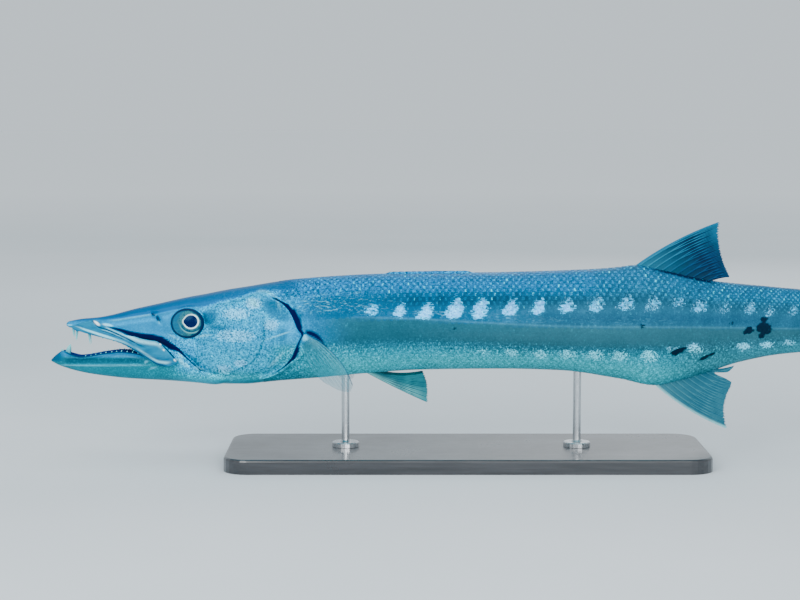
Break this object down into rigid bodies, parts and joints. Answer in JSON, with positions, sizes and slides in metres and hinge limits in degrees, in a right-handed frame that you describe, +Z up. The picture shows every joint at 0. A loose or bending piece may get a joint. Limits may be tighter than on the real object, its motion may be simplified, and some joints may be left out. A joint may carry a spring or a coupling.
{
  "type": "great barracuda display model",
  "caption": "Life-size great barracuda with open toothed jaws and folded first dorsal fin, held level by rods on a flat display base.",
  "frame": {"origin": "middle of the underside of the stand's base, on the floor", "axes": "the head points along -X, the fish's left side faces -Y, +Z is up"},
  "size_m": [1.1334, 0.19, 0.3012],
  "materials": {
    "skin_body": "wet silver-blue scales over painted bars and a pale belly",
    "skin_head": "smooth wet skin, dark above and silver on the cheek",
    "skin_jaw": "smooth wet skin with ivory teeth",
    "mouth": "wet flesh",
    "eye": "clear dome over a silver iris and black pupil",
    "fin": "thin web between raised rays",
    "stand_board": "satin black lacquer",
    "stand_rod": "brushed rod with a turned foot"
  },
  "bodies": {
    "root": {"head": "skin_head", "lower_jaw": "skin_jaw", "upper_jaw_left": "skin_jaw", "upper_jaw_right": "skin_jaw", "gill_cover_left": "skin_head", "gill_cover_right": "skin_head", "torso_front": "skin_body", "torso_rear": "skin_body", "tail_base": "skin_body", "tail_stalk": "skin_body", "tongue": "mouth", "eye_left": "eye", "eye_right": "eye", "dorsal_fin_first": "fin", "dorsal_fin_second": "fin", "anal_fin": "fin", "tail_fin_upper": "fin", "tail_fin_lower": "fin", "pelvic_fin_left": "fin", "pelvic_fin_right": "fin", "pectoral_fin_left": "fin", "pectoral_fin_right": "fin", "stand_base": "stand_board", "stand_rod_front": "stand_rod", "stand_rod_rear": "stand_rod"}
  },
  "joints": []
}
